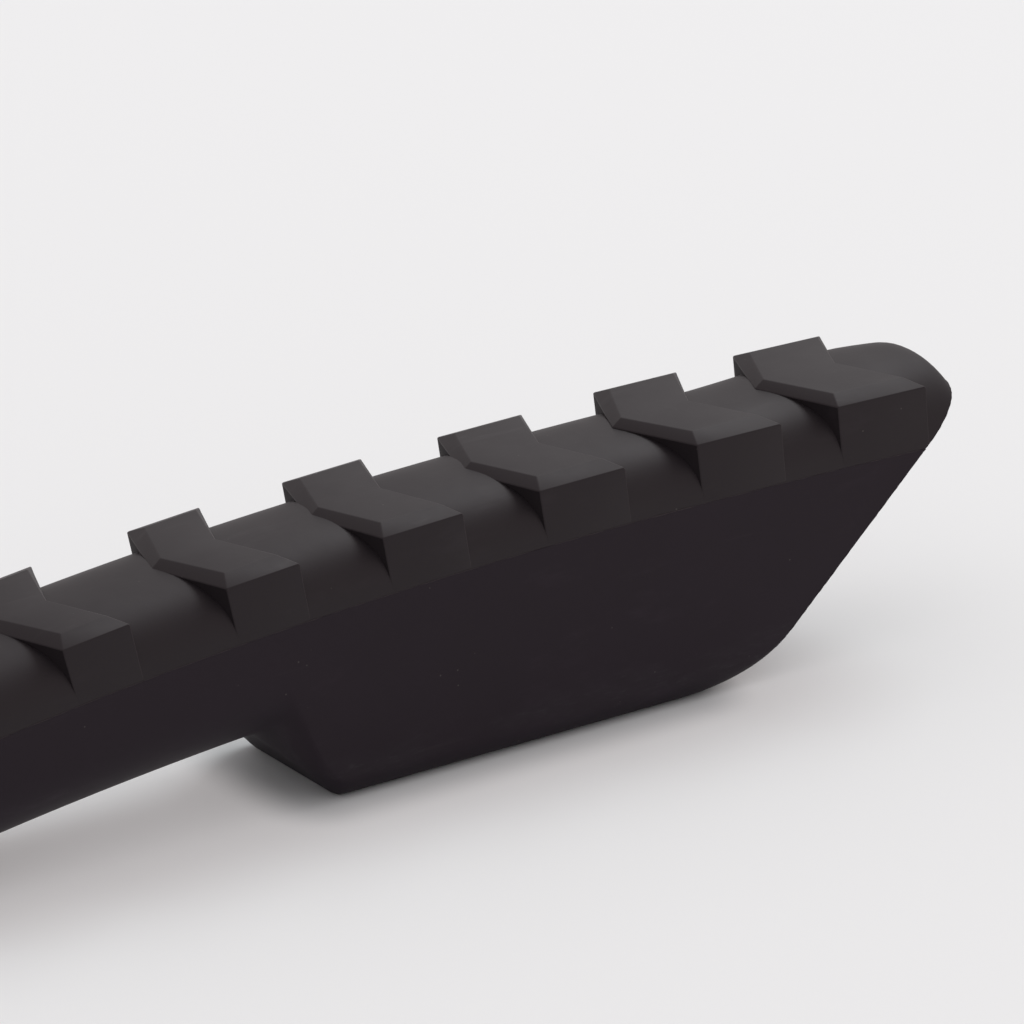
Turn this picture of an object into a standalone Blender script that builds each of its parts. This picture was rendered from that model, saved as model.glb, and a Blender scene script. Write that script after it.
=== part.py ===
"""Ice axe: curved shaft, rubber grip with a heel, modular head and a sliding hand rest.

Row frame: +X along the handle towards the butt, +Z towards the palm side (the ridge of
raised chevrons), the pick side down. The origin is the centre of the heel's flat foot.
"""
import math
import bpy
import bmesh
from mathutils import Vector, Matrix

# ---------------------------------------------------------------- driving dimensions (mm)
W = 13.0                 # half width of the grip
FOOT_Z = -2.365 * W      # height of the heel's foot under the parting line
FOOT_X = -1.98 * W       # centre of the foot along the handle
BEND = (-0.0102, 0.0007)  # heading of the parting line: a*s + b*s*s, s in half widths
BEND_END = -12.0         # past this the shaft runs straight to the head
HEAD_S = -451.0          # the pick's axis along the shaft
AXIS_N = -0.38 * W       # shaft axis under the parting line
SHAFT = (10.0, 11.5)     # half width and half depth of the oval tube
WALL = 1.5
GAP = 0.15               # half gap between neighbouring pieces
ARCH_H = 0.70 * W        # ridge height over the parting line
ARCH_P = 2.6             # ridge section: exponent of the rounded arch
BUTT_ROUND = 0.5         # the arch is this much rounder at the butt
NECK_SIDE = 0.55 * W     # flat side under the parting line
NECK_ROUND = 0.91 * W    # depth of the half ellipse under it
HEEL_EDGE = 0.27 * W     # rounding along the foot
HEEL_FRONT = (-5.06, -4.385)   # start and end of the heel's front slope (half widths)
HEEL_SOFT = (0.10, 0.035)     # easing at the top and at the foot of that slope
HEEL_CORNER = 0.5        # the rounding shrinks over this stretch (half widths)
CUT_POINT = (1.865 * W, -1.703 * W)   # the butt is cut off square to this sloping line
CUT_ANGLE = math.radians(43.0)
TOE_R = 2.0 * W          # radius from the foot up to the butt face
GRIP_TOP = -13.0         # upper end of the rubber (half widths)
BLOCK_EDGE = (0.117 * W, 0.204 * W, 0.088 * W)   # front run, side inset, drop
FLANK_FRONT = (0.03, -0.06, 0.0)   # the flanks lean by this much: base, edge, top
FLANK_REAR = (0.13, 0.05, -0.04)
# apex position, length along the handle, sweep back per half width, height of the top
BLOCKS = [(1.960, 1.115, 0.48, 0.834), (0.015, 1.035, 0.50, 0.800), (-1.983, 1.020, 0.40, 0.760),
          (-3.969, 0.925, 0.35, 0.764), (-5.969, 0.813, 0.37, 0.784), (-7.991, 0.721, 0.36, 0.786),
          (-10.00, 0.640, 0.36, 0.786), (-11.98, 0.560, 0.36, 0.786)]
RIDGE_RISE = (0.145, 1.0, 3.8)  # the ridge rises by this much between these stations
DOME = (3.75, 4.34)      # the ridge turns down to the butt over this stretch
DOME_POWER = 4.5         # fullness of that turn
COLLAR_L = 11.0          # length of the ring above the rubber
REST_S = GRIP_TOP * W - COLLAR_L - 42.0   # hand rest, centre of its collar
UPPER_GRIP = (HEAD_S + 47.0, HEAD_S + 99.0)
SOCKET = 3.4             # wall of the head's socket round the shaft
FIT = 0.25               # clearance of a piece that is slipped over or into another
PIN_FIT = 0.06           # radial clearance of pins and screws
SLIDE_FIT = 0.35         # clearance of the hand rest on the shaft
CHEEK = 8.5              # half thickness of the head
SLOT = 2.3               # half width of the slots that take the pick and the adze
BLADE = 2.0              # half thickness of the pick and the adze's tang
BOLT_R = 3.0             # pick and adze bolts
PIN_R = 2.0              # plug pin and rivets
REST_WALL = 4.0          # wall of the hand rest's collar
REST_HALF = 14.0         # half its length
SCREW_R, SCREW_HEAD_R = 1.5, 2.8
LEVER_PIN_R = 1.5
LEVER_HALF = 4.1         # half width of the brake lever
THROUGH = 40.0           # half length of a cutter that must pass right through

for ob in list(bpy.data.objects):
    bpy.data.objects.remove(ob, do_unlink=True)


# ---------------------------------------------------------------- frame along the handle
def heading(s):
    u = max(s, BEND_END)
    return BEND[0] * u + BEND[1] * u * u


def line_point(s):
    """Parting line at arc length s (half widths), in half widths."""
    u = max(s, BEND_END)
    n = 24
    x = z = 0.0
    for i in range(n):
        t = u * (i + 0.5) / n
        x += math.cos(heading(t)) * u / n
        z += math.sin(heading(t)) * u / n
    if s < BEND_END:
        h = heading(BEND_END)
        x += math.cos(h) * (s - BEND_END)
        z += math.sin(h) * (s - BEND_END)
    return x, z


def P(S, y, n):
    """S along the handle, y across, n off the parting line, all mm -> row frame, metres."""
    s = S / W
    x, z = line_point(s)
    h = heading(s)
    px = x * W - n * math.sin(h) - FOOT_X
    pz = z * W + n * math.cos(h) - FOOT_Z
    return Vector((px, y, pz)) / 1000.0


def direction(ds, dy, dn, S=-300.0):
    return (P(S + ds, dy, dn) - P(S, 0, 0)).normalized()


# ---------------------------------------------------------------- mesh helpers
def to_object(name, bm):
    bmesh.ops.remove_doubles(bm, verts=bm.verts, dist=1e-7)
    bmesh.ops.recalc_face_normals(bm, faces=bm.faces)
    me = bpy.data.meshes.new(name)
    bm.to_mesh(me)
    bm.free()
    ob = bpy.data.objects.new(name, me)
    bpy.context.scene.collection.objects.link(ob)
    return ob


def loft(name, rings):
    bm = bmesh.new()
    rows = [[bm.verts.new(p) for p in r] for r in rings]
    m = len(rows[0])
    for a, b in zip(rows[:-1], rows[1:]):
        for i in range(m):
            j = (i + 1) % m
            bm.faces.new((a[i], a[j], b[j], b[i]))
    bm.faces.new(rows[0][::-1])
    bm.faces.new(rows[-1])
    return to_object(name, bm)


def pipe(name, outer, inner):
    bm = bmesh.new()
    ro = [[bm.verts.new(p) for p in r] for r in outer]
    ri = [[bm.verts.new(p) for p in r] for r in inner]
    m = len(ro[0])
    for a, b in zip(ro[:-1], ro[1:]):
        for i in range(m):
            j = (i + 1) % m
            bm.faces.new((a[i], a[j], b[j], b[i]))
    for a, b in zip(ri[:-1], ri[1:]):
        for i in range(m):
            j = (i + 1) % m
            bm.faces.new((a[j], a[i], b[i], b[j]))
    for o, n, flip in ((ro[0], ri[0], 0), (ro[-1], ri[-1], 1)):
        for i in range(m):
            j = (i + 1) % m
            f = (o[i], n[i], n[j], o[j])
            bm.faces.new(f[::-1] if flip else f)
    return to_object(name, bm)


def boolean(a, b, op="DIFFERENCE"):
    """Apply the operation to a and remove the cutter b."""
    mod = a.modifiers.new("b", "BOOLEAN")
    mod.operation = op
    mod.solver = "EXACT"
    mod.object = b
    dg = bpy.context.evaluated_depsgraph_get()
    me = bpy.data.meshes.new_from_object(a.evaluated_get(dg))
    a.modifiers.remove(mod)
    old = a.data
    a.data = me
    bpy.data.meshes.remove(old)
    bpy.data.objects.remove(b, do_unlink=True)
    return a


def oval(S, ry, rn, n0, count=32, power=2.3, y0=0.0):
    out = []
    for i in range(count):
        t = 2 * math.pi * i / count
        c, q = math.cos(t), math.sin(t)
        y = math.copysign(abs(c) ** (2 / power), c) * ry
        n = math.copysign(abs(q) ** (2 / power), q) * rn
        out.append(P(S, y0 + y, n0 + n))
    return out


def plate(name, outline, y0, y1):
    """Flat piece from an outline of (S, n) points between two planes of y."""
    return loft(name, [[P(S, y, n) for S, n in outline] for y in (y0, y1)])


def rod(name, S, n, r, y0, y1, count=20):
    pts = [(S + r * math.cos(2 * math.pi * i / count), n + r * math.sin(2 * math.pi * i / count))
           for i in range(count)]
    return plate(name, pts, y0, y1)


def turned(S, y, n, r, count=20):
    """Ring of a piece turned round an axis along y."""
    return [P(S + r * math.cos(2 * math.pi * j / count), y, n + r * math.sin(2 * math.pi * j / count))
            for j in range(count)]


def upright(S, n, r, count=20):
    """Ring of a piece turned round an axis square to the handle."""
    return [P(S + r * math.cos(2 * math.pi * j / count), r * math.sin(2 * math.pi * j / count), n)
            for j in range(count)]


def join(name, obs):
    bm = bmesh.new()
    for ob in obs:
        bm.from_mesh(ob.data)
        bpy.data.objects.remove(ob, do_unlink=True)
    return to_object(name, bm)


def bevel(ob, width, angle=35.0, segments=1):
    bm = bmesh.new()
    bm.from_mesh(ob.data)
    bmesh.ops.remove_doubles(bm, verts=bm.verts, dist=1e-7)
    edges = [e for e in bm.edges if len(e.link_faces) == 2
             and math.degrees(e.calc_face_angle(0.0)) > angle]
    bmesh.ops.bevel(bm, geom=edges, offset=width / 1000.0, segments=segments, affect="EDGES",
                    profile=0.5, clamp_overlap=True)
    bmesh.ops.dissolve_degenerate(bm, dist=1e-7, edges=bm.edges)
    bmesh.ops.recalc_face_normals(bm, faces=bm.faces)
    bm.to_mesh(ob.data)
    bm.free()
    return ob


def cut_plane(ob, co, no):
    """Keep what lies behind the plane and close the cut."""
    bm = bmesh.new()
    bm.from_mesh(ob.data)
    geo = list(bm.verts) + list(bm.edges) + list(bm.faces)
    bmesh.ops.bisect_plane(bm, geom=geo, dist=1e-8, plane_co=co, plane_no=no, clear_outer=True)
    edges = [e for e in bm.edges if e.is_boundary]
    bmesh.ops.holes_fill(bm, edges=edges, sides=0)
    bmesh.ops.remove_doubles(bm, verts=bm.verts, dist=1e-7)
    bmesh.ops.recalc_face_normals(bm, faces=bm.faces)
    bm.to_mesh(ob.data)
    bm.free()


def steps(stops):
    """Stations from (end, count) runs."""
    out = [stops[0][0]]
    for (a, _), (b, n) in zip(stops[:-1], stops[1:]):
        out += [a + (b - a) * (i + 1) / n for i in range(n)]
    return out


# ---------------------------------------------------------------- butt plane, in the row frame
cut_co = Vector(((CUT_POINT[0] - FOOT_X) / 1000, 0, (CUT_POINT[1] - FOOT_Z) / 1000))
cut_no = Vector((math.sin(CUT_ANGLE), 0, -math.cos(CUT_ANGLE)))
cut_up = Vector((math.cos(CUT_ANGLE), 0, math.sin(CUT_ANGLE)))

# ---------------------------------------------------------------- shaft
SHAFT_END = 22.0
SHAFT_TOP = HEAD_S + 14.0
BORE_END = 64.0          # the rubber's bore runs out through the butt face
stations = [SHAFT_TOP] + [s * W for s in steps([(BEND_END, 0), (0.0, 12)])] + [SHAFT_END]
shaft_outer = [oval(S, SHAFT[0], SHAFT[1], AXIS_N) for S in stations]
shaft_inner = [oval(S, SHAFT[0] - WALL, SHAFT[1] - WALL, AXIS_N) for S in stations]
shaft = pipe("shaft_tube", shaft_outer, shaft_inner)


def shaft_core(name, grow, S0=None, S1=None):
    """Solid of the shaft's outside plus grow, for clearing neighbours."""
    st = [SHAFT_TOP - 20] + stations[1:-1] + [SHAFT_END + grow + 0.1]
    if S0 is not None:
        st = [S0] + [S for S in stations if S0 < S < S1] + [S1]
    return loft(name, [oval(S, SHAFT[0] + grow, SHAFT[1] + grow, AXIS_N) for S in st])


# ---------------------------------------------------------------- grip, upper half
def smooth(t):
    t = min(max(t, 0.0), 1.0)
    return t * t * (3 - 2 * t)


def ridge(s):
    """Height of the ridge over the parting line, mm, at station s."""
    rise, a, b = RIDGE_RISE
    t = min(max((s - DOME[0]) / (DOME[1] - DOME[0]), 0.0), 0.97)
    return (ARCH_H + rise * W * smooth((s - a) / (b - a))) * math.sqrt(1.0 - t ** DOME_POWER)


def arch_ring(S):
    k = 15
    high = ridge(S / W)
    power = 2 / (ARCH_P - BUTT_ROUND * smooth((S / W - 3.2) / 0.9))
    pts = []
    for i in range(k):
        t = math.pi * i / (k - 1)
        c, q = math.cos(t), math.sin(t)
        y = math.copysign(abs(c) ** power, c) * W
        pts.append((y, max(abs(q) ** power * high, GAP)))
    return [P(S, y, n) for y, n in pts]


def chevron(name, s0, length, sweep, height):
    front, back, top = s0 * W, (s0 + length) * W, height * W
    run, inset, drop = BLOCK_EDGE
    rows = []
    for n, a, y, f, r in zip((1.2, top - drop, top), (front, front, front + run),
                             (W, W, W - inset), FLANK_FRONT, FLANK_REAR):
        fa, fb = a + (sweep + f) * y, back + (sweep + r) * y
        rows.append([P(a, 0, n), P(fa, y, n), P(fb, y, n), P(back, 0, n), P(fb, -y, n),
                     P(fa, -y, n)])
    return loft(name, rows)


tread = loft("grip_tread", [arch_ring(s * W) for s in steps([(GRIP_TOP, 0), (3.7, 31), (4.3, 8)])])
blocks = join("blocks", [chevron("c%d" % i, *b) for i, b in enumerate(BLOCKS)])
boolean(tread, blocks, "UNION")
boolean(tread, shaft_core("cut", FIT, GRIP_TOP * W - 8.0, BORE_END))
cut_plane(tread, cut_co, cut_no)


# ---------------------------------------------------------------- grip, lower half
def foot_profile(x):
    """Height of the underside behind the heel's front slope; x, z in half widths."""
    foot = FOOT_Z / W
    r = TOE_R / W
    a = CUT_ANGLE - math.radians(1.0)
    meet = (CUT_POINT[0] + (FOOT_Z - CUT_POINT[1]) / math.tan(CUT_ANGLE)) / W
    x0 = meet - r * math.tan(a / 2) + 0.015
    if x <= x0:
        return foot
    if x <= x0 + r * math.sin(a):
        return foot + r - math.sqrt(r * r - (x - x0) ** 2)
    return foot + r * (1 - math.cos(a)) + (x - x0 - r * math.sin(a)) * math.tan(a)


def under(s):
    """Distance of the underside below the parting line, mm, at station s."""
    x, z = line_point(s)
    h = heading(s)
    neck = -(NECK_SIDE + NECK_ROUND) / W
    n = neck
    for _ in range(4):
        px = x - n * math.sin(h)
        n = (foot_profile(px) - z) / math.cos(h)
    a, b = HEEL_FRONT
    t = (s - a) / (b - a)
    soft, crisp = HEEL_SOFT
    t = soft * math.log1p(math.exp(min(t / soft, 60.0)))
    t = 1.0 - crisp * math.log1p(math.exp(min((1.0 - t) / crisp, 60.0)))
    t = max(t, 0.0)
    return min(neck + (n - neck) * t, -0.12) * W


def body_ring(s):
    bottom = under(s)
    a = HEEL_FRONT[0]
    t = smooth((s - a) / HEEL_CORNER)
    toe = 1.0 - 0.85 * smooth((s - 0.6) / 1.3)
    ry = W + (HEEL_EDGE * toe - W) * t
    rz = NECK_ROUND + (HEEL_EDGE * toe - NECK_ROUND) * t
    depth = -bottom
    rz = min(rz, depth * 0.6)
    ry = min(ry, W - 0.3)
    pts = [(W, -GAP), (W, -(depth - rz) * 0.5 - GAP * 0.5)]
    for i in range(9):
        q = math.pi / 2 * i / 8
        pts.append((W - ry + ry * math.cos(q), bottom + rz - rz * math.sin(q)))
    pts = pts + [(-y, n) for y, n in pts[::-1]]
    return [P(s * W, y, n) for y, n in pts]


body_stations = steps([(GRIP_TOP, 0), (-5.6, 14), (-3.9, 20), (0.6, 8), (2.2, 14), (3.9, 5)])
body = loft("grip_body", [body_ring(s) for s in body_stations])
boolean(body, shaft_core("cut", FIT, GRIP_TOP * W - 8.0, BORE_END))
cut_plane(body, cut_co, cut_no)


# ---------------------------------------------------------------- heel core and butt plug
def slab(name, u0, u1, half, depth0, depth1, corner=4.0):
    """Rounded plate lying parallel to the butt face, depths measured inwards from it."""
    pts = []
    for cu, cy, a0 in ((u1 - corner, half - corner, 0), (u0 + corner, half - corner, 90),
                       (u0 + corner, -half + corner, 180), (u1 - corner, -half + corner, 270)):
        for i in range(5):
            a = math.radians(a0 + 22.5 * i)
            pts.append((cu + corner * math.cos(a), cy + corner * math.sin(a)))
    rings = []
    for d in (depth0, depth1):
        rings.append([cut_co + cut_up * (u / 1000) - cut_no * (d / 1000) + Vector((0, y / 1000, 0))
                      for u, y in pts])
    return loft(name, rings)


def core_block(name, grow):
    """Stiffener that fills the heel under the shaft."""
    front, back = -3.35 * W, 2.6 * W
    rings = []
    for s in steps([(front / W, 0), (back / W, 12)]):
        bottom = under(s) + 3.4 - grow
        top = AXIS_N - SHAFT[1] - 0.6 + grow
        if top < bottom + 0.8:
            break
        half = 8.8 + grow
        e = min(2.4, (top - bottom) * 0.4)
        pts = [(half, top), (half, bottom + e), (half - e, bottom), (-half + e, bottom),
               (-half, bottom + e), (-half, top)]
        rings.append([P(s * W, y, n) for y, n in pts])
    return loft(name, rings)


PLUG = dict(u0=-3.0, u1=26.0, half=9.0)   # its flange on the butt face
PLUG_T = 3.0
core = core_block("heel_core", 0.0)
boolean(body, core_block("cut", FIT))
for ob in (body, tread):
    boolean(ob, slab("cut", PLUG["u0"] - FIT, PLUG["u1"] + FIT, PLUG["half"] + FIT, -2.0,
                     PLUG_T + FIT))
for ob in (core, shaft):
    boolean(ob, slab("cut", PLUG["u0"] - 9, PLUG["u1"] + 9, 14.0, -12.0, PLUG_T + 2 * FIT))

plug = slab("end_plug", PLUG["u0"], PLUG["u1"], PLUG["half"], 0.3, PLUG_T)
boss = loft("boss", [oval(S, SHAFT[0] - g, SHAFT[1] - g, AXIS_N) for S, g in
                     ((-8.0, WALL + 0.6), (-7.0, WALL + FIT), (0.0, WALL + FIT),
                      (SHAFT_END + 0.35, WALL + FIT), (SHAFT_END + 0.35, 0.0),
                      (BORE_END, 0.0))])
cut_plane(boss, cut_co - cut_no * 0.0003, cut_no)
boolean(plug, boss, "UNION")
pin_S = 2.0
pin_half = SHAFT[0] - 0.3
end_pin = rod("end_plug_pin", pin_S, AXIS_N, PIN_R, -pin_half, pin_half)
for ob in (plug, shaft):
    boolean(ob, rod("cut", pin_S, AXIS_N, PIN_R + PIN_FIT, -THROUGH, THROUGH))

# ---------------------------------------------------------------- ring at the top of the rubber
cS = (GRIP_TOP * W - COLLAR_L, GRIP_TOP * W - 0.3)
collar = pipe("grip_collar",
              [oval(S, SHAFT[0] + g, SHAFT[1] + g, AXIS_N) for S, g in
               ((cS[0], 0.9), (cS[0] + 1.2, 1.7), (cS[1] - 0.8, 2.6), (cS[1], 2.2))],
              [oval(S, SHAFT[0] + FIT, SHAFT[1] + FIT, AXIS_N) for S in
               (cS[0], cS[0] + 1.2, cS[1] - 0.8, cS[1])])

# ---------------------------------------------------------------- upper grip sleeve
uS = UPPER_GRIP
ribs = 6
prof = [(uS[0], 0.8), (uS[0] + 1.5, 1.8)]
for i in range(ribs):
    a = uS[0] + 5 + i * 7.4
    prof += [(a, 1.8), (a + 0.9, 1.0), (a + 2.1, 1.0), (a + 3.0, 1.8)]
prof += [(uS[1] - 1.5, 1.8), (uS[1], 0.8)]
upper = pipe("upper_grip", [oval(S, SHAFT[0] + g, SHAFT[1] + g, AXIS_N) for S, g in prof],
             [oval(S, SHAFT[0] + FIT, SHAFT[1] + FIT, AXIS_N) for S in uS])

# ---------------------------------------------------------------- head
HN = AXIS_N              # n of the shaft axis
hs = HEAD_S
outline = [(hs - 13, HN - 30), (hs - 14, HN + 20), (hs - 9, HN + 36), (hs + 9, HN + 36),
           (hs + 13.5, HN + 22), (hs + 15, HN + 13.2), (hs + 15, HN - 14), (hs + 13.5, HN - 24),
           (hs + 9, HN - 40), (hs - 8, HN - 40)]
head = plate("head_body", outline, -CHEEK, CHEEK)
bevel(head, 1.6, 40.0, 2)
sock = loft("sock", [oval(S, SHAFT[0] + g, SHAFT[1] + g, HN) for S, g in
                     ((hs + 4, SOCKET - 1.4), (hs + 9, SOCKET), (hs + 36, SOCKET),
                      (hs + 42, SOCKET - 1.8))])
boolean(head, sock, "UNION")
boolean(head, loft("cut", [oval(S, SHAFT[0] + FIT, SHAFT[1] + FIT, HN)
                           for S in (SHAFT_TOP - 0.3, hs + 60)]))
boolean(head, plate("cut", [(hs - 30, HN - 60), (hs - 30, HN - 9.5), (hs + 10.0, HN - 13.0),
                            (hs + 10.0, HN - 60)], -SLOT, SLOT))
boolean(head, plate("cut", [(hs - 30, HN + 60), (hs - 30, HN + 9.5), (hs + 10.0, HN + 13.0),
                            (hs + 10.0, HN + 60)], -SLOT, SLOT))
HOLE = (hs - 3.5, HN, 7.0)      # carabiner hole
boolean(head, rod("cut", *HOLE, -THROUGH, THROUGH, 32))

BOLTS = [(hs - 0.5, HN - 20.0), (hs - 0.5, HN - 33.0)]
ADZE_BOLT = (hs - 0.5, HN + 24.0)
for S, n in BOLTS + [ADZE_BOLT]:
    boolean(head, rod("cut", S, n, BOLT_R + 0.1, -THROUGH, THROUGH))

# pick: centre line and half depth from the tang to the tip
path = []
N = 23
for i in range(N + 1):
    t = i / N
    n = HN - 43.0 - 122.0 * t
    S = hs + 1.0 + 62.0 * t ** 1.75
    half = 9.2 - 4.2 * t ** 0.8
    if t > 0.86:
        half *= max(1.0 - ((t - 0.86) / 0.14) ** 1.5, 0.06)
    path.append((S, n, half))
top_edge, low_edge = [], []
for i, (S, n, half) in enumerate(path):
    a = path[max(i - 1, 0)]
    b = path[min(i + 1, N)]
    dS, dn = b[0] - a[0], b[1] - a[1]
    q = math.hypot(dS, dn)
    nx, ny = -dn / q, dS / q          # towards the butt side
    top_edge.append((S - nx * half, n - ny * half))
    low_edge.append((S + nx * half, n + ny * half))
teeth = []
for i, (a, b) in enumerate(zip(low_edge[:-1], low_edge[1:])):
    teeth.append(a)
    if 2 <= i <= N - 3:
        m = (a[0] + (b[0] - a[0]) * 0.72, a[1] + (b[1] - a[1]) * 0.72)
        teeth.append((m[0] - 3.0, m[1] + 0.4))
teeth.append(low_edge[-1])
tang_in = HN - 15.5
pick_outline = ([(hs + 8.8, tang_in), (hs - 9.8, tang_in), (hs - 9.8, HN - 41.0)]
                + top_edge + teeth[::-1] + [(hs + 9.6, HN - 42.0), (hs + 8.8, HN - 38.0)])
pick = plate("pick", pick_outline, -BLADE, BLADE)
for S, n in BOLTS:
    boolean(pick, rod("cut", S, n, BOLT_R + 0.1, -THROUGH, THROUGH))
boolean(pick, plate("cut", [(hs + 1.0, HN - 53), (hs - 2.2, HN - 60), (hs + 1.8, HN - 73),
                            (hs + 7.0, HN - 70), (hs + 6.0, HN - 58)], -6, 6))


def bolt(name, S, n, side):
    """Socket-head screw across the head; side is the sign of y at its head."""
    k = side
    y_head = k * (CHEEK + 0.1)
    prof_b = [(-k * (CHEEK + 4.6), BOLT_R - 0.5), (-k * (CHEEK + 4.0), BOLT_R),
              (y_head, BOLT_R), (y_head, 5.2), (k * (CHEEK + 2.6), 5.2), (k * (CHEEK + 3.2), 4.6)]
    ob = loft(name, [turned(S, y, n, r, 24) for y, r in prof_b])
    hexagon = [(S + 2.4 * math.cos(math.pi / 3 * i), n + 2.4 * math.sin(math.pi / 3 * i))
               for i in range(6)]
    boolean(ob, plate("cut", hexagon, k * (CHEEK + 1.3), k * (CHEEK + 9)))
    return ob


def nut(name, S, n, side):
    k = -side
    hexo = [(S + 5.3 * math.cos(math.pi / 3 * i), n + 5.3 * math.sin(math.pi / 3 * i))
            for i in range(6)]
    ob = plate(name, hexo, k * (CHEEK + 0.1), k * (CHEEK + 3.6))
    bevel(ob, 0.4, 80.0)
    boolean(ob, rod("cut", S, n, BOLT_R + PIN_FIT, -THROUGH, THROUGH, 24))
    return ob


pick_bolts = [bolt("pick_bolt_%d" % (i + 1), S, n, -1) for i, (S, n) in enumerate(BOLTS)]
pick_nuts = [nut("pick_nut_%d" % (i + 1), S, n, -1) for i, (S, n) in enumerate(BOLTS)]
adze_bolt = bolt("adze_bolt", *ADZE_BOLT, 1)
adze_nut = nut("adze_nut", *ADZE_BOLT, 1)

# adze: a dished blade on a tang
rings = []
for i in range(13):
    t = i / 12
    n = HN + 37.5 + 52.0 * t
    S = hs - 6.5 + 26.0 * t ** 1.8
    half = 9.0 + 18.0 * smooth(t * 1.15)
    th = 1.9 - 0.9 * t
    row = []
    for j in range(9):
        y = half * (1 - j / 4)
        row.append((y, S + 3.2 * (y / 27.0) ** 2 - th))
    for j in range(9):
        y = -half * (1 - j / 4)
        row.append((y, S + 3.2 * (y / 27.0) ** 2 + th))
    rings.append([P(Sj, y, n) for y, Sj in row])
adze = loft("adze", rings)
boolean(adze, plate("tang", [(hs - 9.5, HN + 15.5), (hs + 8.8, HN + 15.5), (hs + 8.8, HN + 38),
                             (hs + 4.5, HN + 58), (hs - 5.6, HN + 54), (hs - 8.5, HN + 38)],
                    -BLADE, BLADE), "UNION")
boolean(adze, rod("cut", *ADZE_BOLT, BOLT_R + 0.1, -THROUGH, THROUGH))

# insert and rivets inside the socket
insert = loft("head_insert", [oval(S, SHAFT[0] - WALL - 0.2, SHAFT[1] - WALL - 0.2, HN)
                              for S in (SHAFT_TOP + 0.2, hs + 60.0)])
RIVETS = [(hs + 22.0, HN), (hs + 33.0, HN)]
rivets = []
for i, (S, n) in enumerate(RIVETS):
    for ob in (insert, shaft, head):
        boolean(ob, rod("cut", S, n, PIN_R + PIN_FIT, -THROUGH, THROUGH))
    face = SHAFT[0] + SOCKET + 0.15
    half_r = [(face, PIN_R), (face + 0.05, 3.3), (face + 0.65, 3.0), (face + 1.35, 1.6)]
    prof_r = [(-y, r) for y, r in half_r[::-1]] + half_r
    rivets.append(loft("head_rivet_%d" % (i + 1), [turned(S, y, n, r) for y, r in prof_r]))

# ---------------------------------------------------------------- sliding hand rest
R0 = REST_S
rest = pipe("rest_collar",
            [oval(R0 + d, SHAFT[0] + g, SHAFT[1] + g, HN) for d, g in
             ((-REST_HALF, REST_WALL - 1), (1.2 - REST_HALF, REST_WALL),
              (REST_HALF - 1.2, REST_WALL), (REST_HALF, REST_WALL - 1))],
            [oval(R0 + d, SHAFT[0] + SLIDE_FIT, SHAFT[1] + SLIDE_FIT, HN) for d in
             (-REST_HALF, 1.2 - REST_HALF, REST_HALF - 1.2, REST_HALF)])
base_n = HN - SHAFT[1] - REST_WALL
hook_o = [(R0 - 11, base_n - 0.3), (R0 + 11, base_n - 0.3), (R0 + 12, base_n - 4.0),
          (R0 + 8.5, base_n - 9), (R0 + 9.5, base_n - 17), (R0 + 15, base_n - 25),
          (R0 + 14.5, base_n - 28.5), (R0 + 10, base_n - 29), (R0 + 2.5, base_n - 21),
          (R0 - 1.5, base_n - 12), (R0 - 7.0, base_n - 6.0), (R0 - 12, base_n - 3.5)]
hook = plate("rest_hook", hook_o, -6.0, 6.0)
bevel(hook, 1.2, 15.0, 2)
rest_screws = []
for i, S in enumerate((R0 - 7.0, R0 + 7.5)):
    for ob in (rest, hook):
        boolean(ob, loft("cut", [upright(S, n, SCREW_R + PIN_FIT, 16)
                                 for n in (base_n - 20, base_n + REST_WALL - 0.45)]))
    n_head = base_n - 3.4
    boolean(hook, loft("cut", [upright(S, n, SCREW_HEAD_R + 0.2)
                               for n in (base_n - 26 + 10 * i, n_head)]))
    prof_s = [(base_n + REST_WALL - 0.7, SCREW_R), (n_head - 0.1, SCREW_R),
              (n_head - 0.1, SCREW_HEAD_R), (n_head - 1.9, SCREW_HEAD_R),
              (n_head - 2.3, SCREW_HEAD_R - 0.5)]
    rest_screws.append(loft("rest_screw_%d" % (i + 1), [upright(S, n, r) for n, r in prof_s]))

# brake lever on the palm side: two ears, a pin and a cam lever
top_n = HN + SHAFT[1] + REST_WALL
LP = (R0 - 6.0, top_n + 4.6)
for side in (-1, 1):
    ear = plate("ear", [(R0 - 11.5, top_n - 2.6), (R0 - 0.5, top_n - 2.6), (R0 - 1.5, top_n + 5.0),
                        (R0 - 4.0, top_n + 7.8), (R0 - 8.0, top_n + 7.8), (R0 - 10.5, top_n + 5.0)],
                side * (LEVER_HALF + 0.3), side * (LEVER_HALF + 2.5))
    boolean(rest, ear, "UNION")
boolean(rest, rod("cut", *LP, LEVER_PIN_R + PIN_FIT, -THROUGH, THROUGH))
# window for the brake pad
win = plate("cut", [(LP[0] - 4.3, top_n - 9), (LP[0] + 4.3, top_n - 9), (LP[0] + 4.3, top_n + 3),
                    (LP[0] - 4.3, top_n + 3)], -4.3, 4.3)
boolean(rest, win)
pad_n = HN + SHAFT[1] + SLIDE_FIT
pad = plate("rest_pad", [(LP[0] - 4.0, pad_n), (LP[0] + 4.0, pad_n), (LP[0] + 4.0, top_n + 0.2),
                         (LP[0] - 4.0, top_n + 0.2)], -4.0, 4.0)
cam_r = 4.0
lever_o = []
for i in range(15):
    a = math.radians(100 + 200 * i / 14)
    lever_o.append((LP[0] + cam_r * math.cos(a), LP[1] + cam_r * math.sin(a)))
lever_o += [(R0 + 1.0, top_n + 1.0), (R0 + 20.0, top_n + 1.2), (R0 + 27.0, top_n + 3.6),
            (R0 + 27.3, top_n + 5.6), (R0 + 22.0, top_n + 4.6), (R0 + 4.0, top_n + 6.6)]
lever = plate("rest_lever", lever_o, -LEVER_HALF, LEVER_HALF)
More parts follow.
